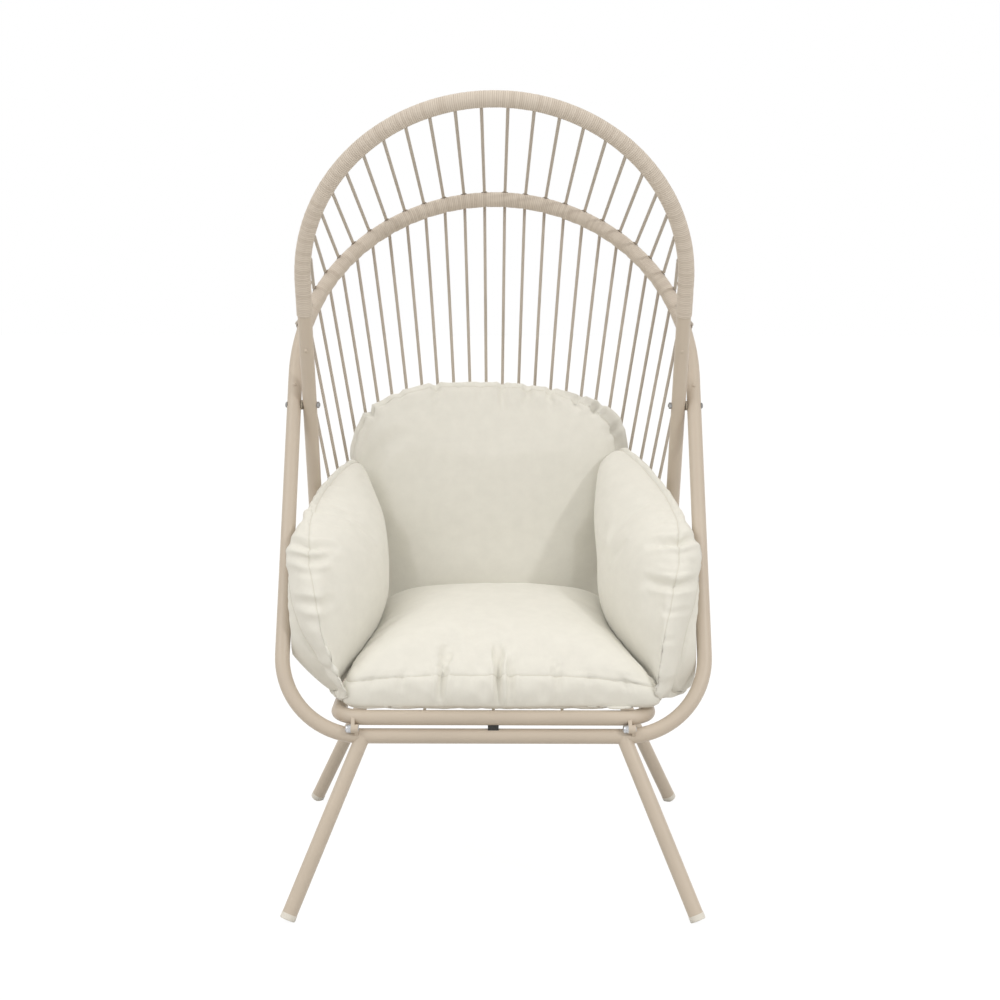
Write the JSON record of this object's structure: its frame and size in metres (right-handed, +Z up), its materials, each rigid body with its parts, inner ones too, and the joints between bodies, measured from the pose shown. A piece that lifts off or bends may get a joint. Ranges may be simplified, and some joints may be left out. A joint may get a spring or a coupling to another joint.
{
  "type": "standing egg chair",
  "caption": "Garden egg chair on splayed legs: two crossed steel hoops strung with cord make a hooded seat, with one padded cushion that lifts out.",
  "frame": {"origin": "on the floor under the axis of the two crossing bolts, in the middle of the chair's width", "axes": "+X across the chair to the right as seen from the front, -Y the way the sitter faces, +Z up"},
  "size_m": [0.7434, 0.7142, 1.3461],
  "materials": {
    "frame_paint": "beige powder coat, satin",
    "winding_cord": "fine polyester cord laid turn against turn",
    "strung_cord": "twisted polyester cord",
    "cushion_fabric": "cream woven cotton blend",
    "cap_plastic": "off-white moulded",
    "zinc": "zinc plated",
    "zinc_dark": "dark zinc plated",
    "spacer_plastic": "black nylon",
    "buffer_rubber": "black rubber"
  },
  "bodies": {
    "frame": {"back_cords": "strung_cord", "bar_lug_front_left": "frame_paint", "bar_lug_front_right": "frame_paint", "bar_lug_rear_left": "frame_paint", "bar_lug_rear_right": "frame_paint", "centre_buffer": "buffer_rubber", "crossing_bolts": "zinc_dark", "crossing_nuts": "zinc_dark", "crossing_spacers": "spacer_plastic", "foot_cap_front_left": "cap_plastic", "foot_cap_front_right": "cap_plastic", "foot_cap_rear_left": "cap_plastic", "foot_cap_rear_right": "cap_plastic", "hood_arch_tube": "frame_paint", "hood_arch_wrap": "winding_cord", "hood_cords": "strung_cord", "inner_loop_tube": "frame_paint", "joint_screws": "zinc", "leg_front_left": "frame_paint", "leg_front_right": "frame_paint", "leg_rear_left": "frame_paint", "leg_rear_right": "frame_paint", "leg_socket_front_left": "frame_paint", "leg_socket_front_right": "frame_paint", "leg_socket_rear_left": "frame_paint", "leg_socket_rear_right": "frame_paint", "outer_loop_tube": "frame_paint", "rear_arch_tube": "frame_paint", "rear_arch_wrap": "winding_cord", "rear_bar_wrap": "winding_cord", "ring_lug_front_left": "frame_paint", "ring_lug_front_right": "frame_paint", "ring_lug_rear_left": "frame_paint", "ring_lug_rear_right": "frame_paint", "seat_bolts": "zinc", "seat_ring": "frame_paint", "seat_rods": "frame_paint", "seat_washers": "zinc"},
    "cushion": {"cushion_back": "cushion_fabric", "cushion_left_arm": "cushion_fabric", "cushion_right_arm": "cushion_fabric", "cushion_seat": "cushion_fabric"}
  },
  "joints": [
    {"name": "cushion_lift", "type": "slide", "parent": "frame", "child": "cushion", "axis": [0, -0.866, 0.5], "range_m": [0, 0.7]}
  ]
}
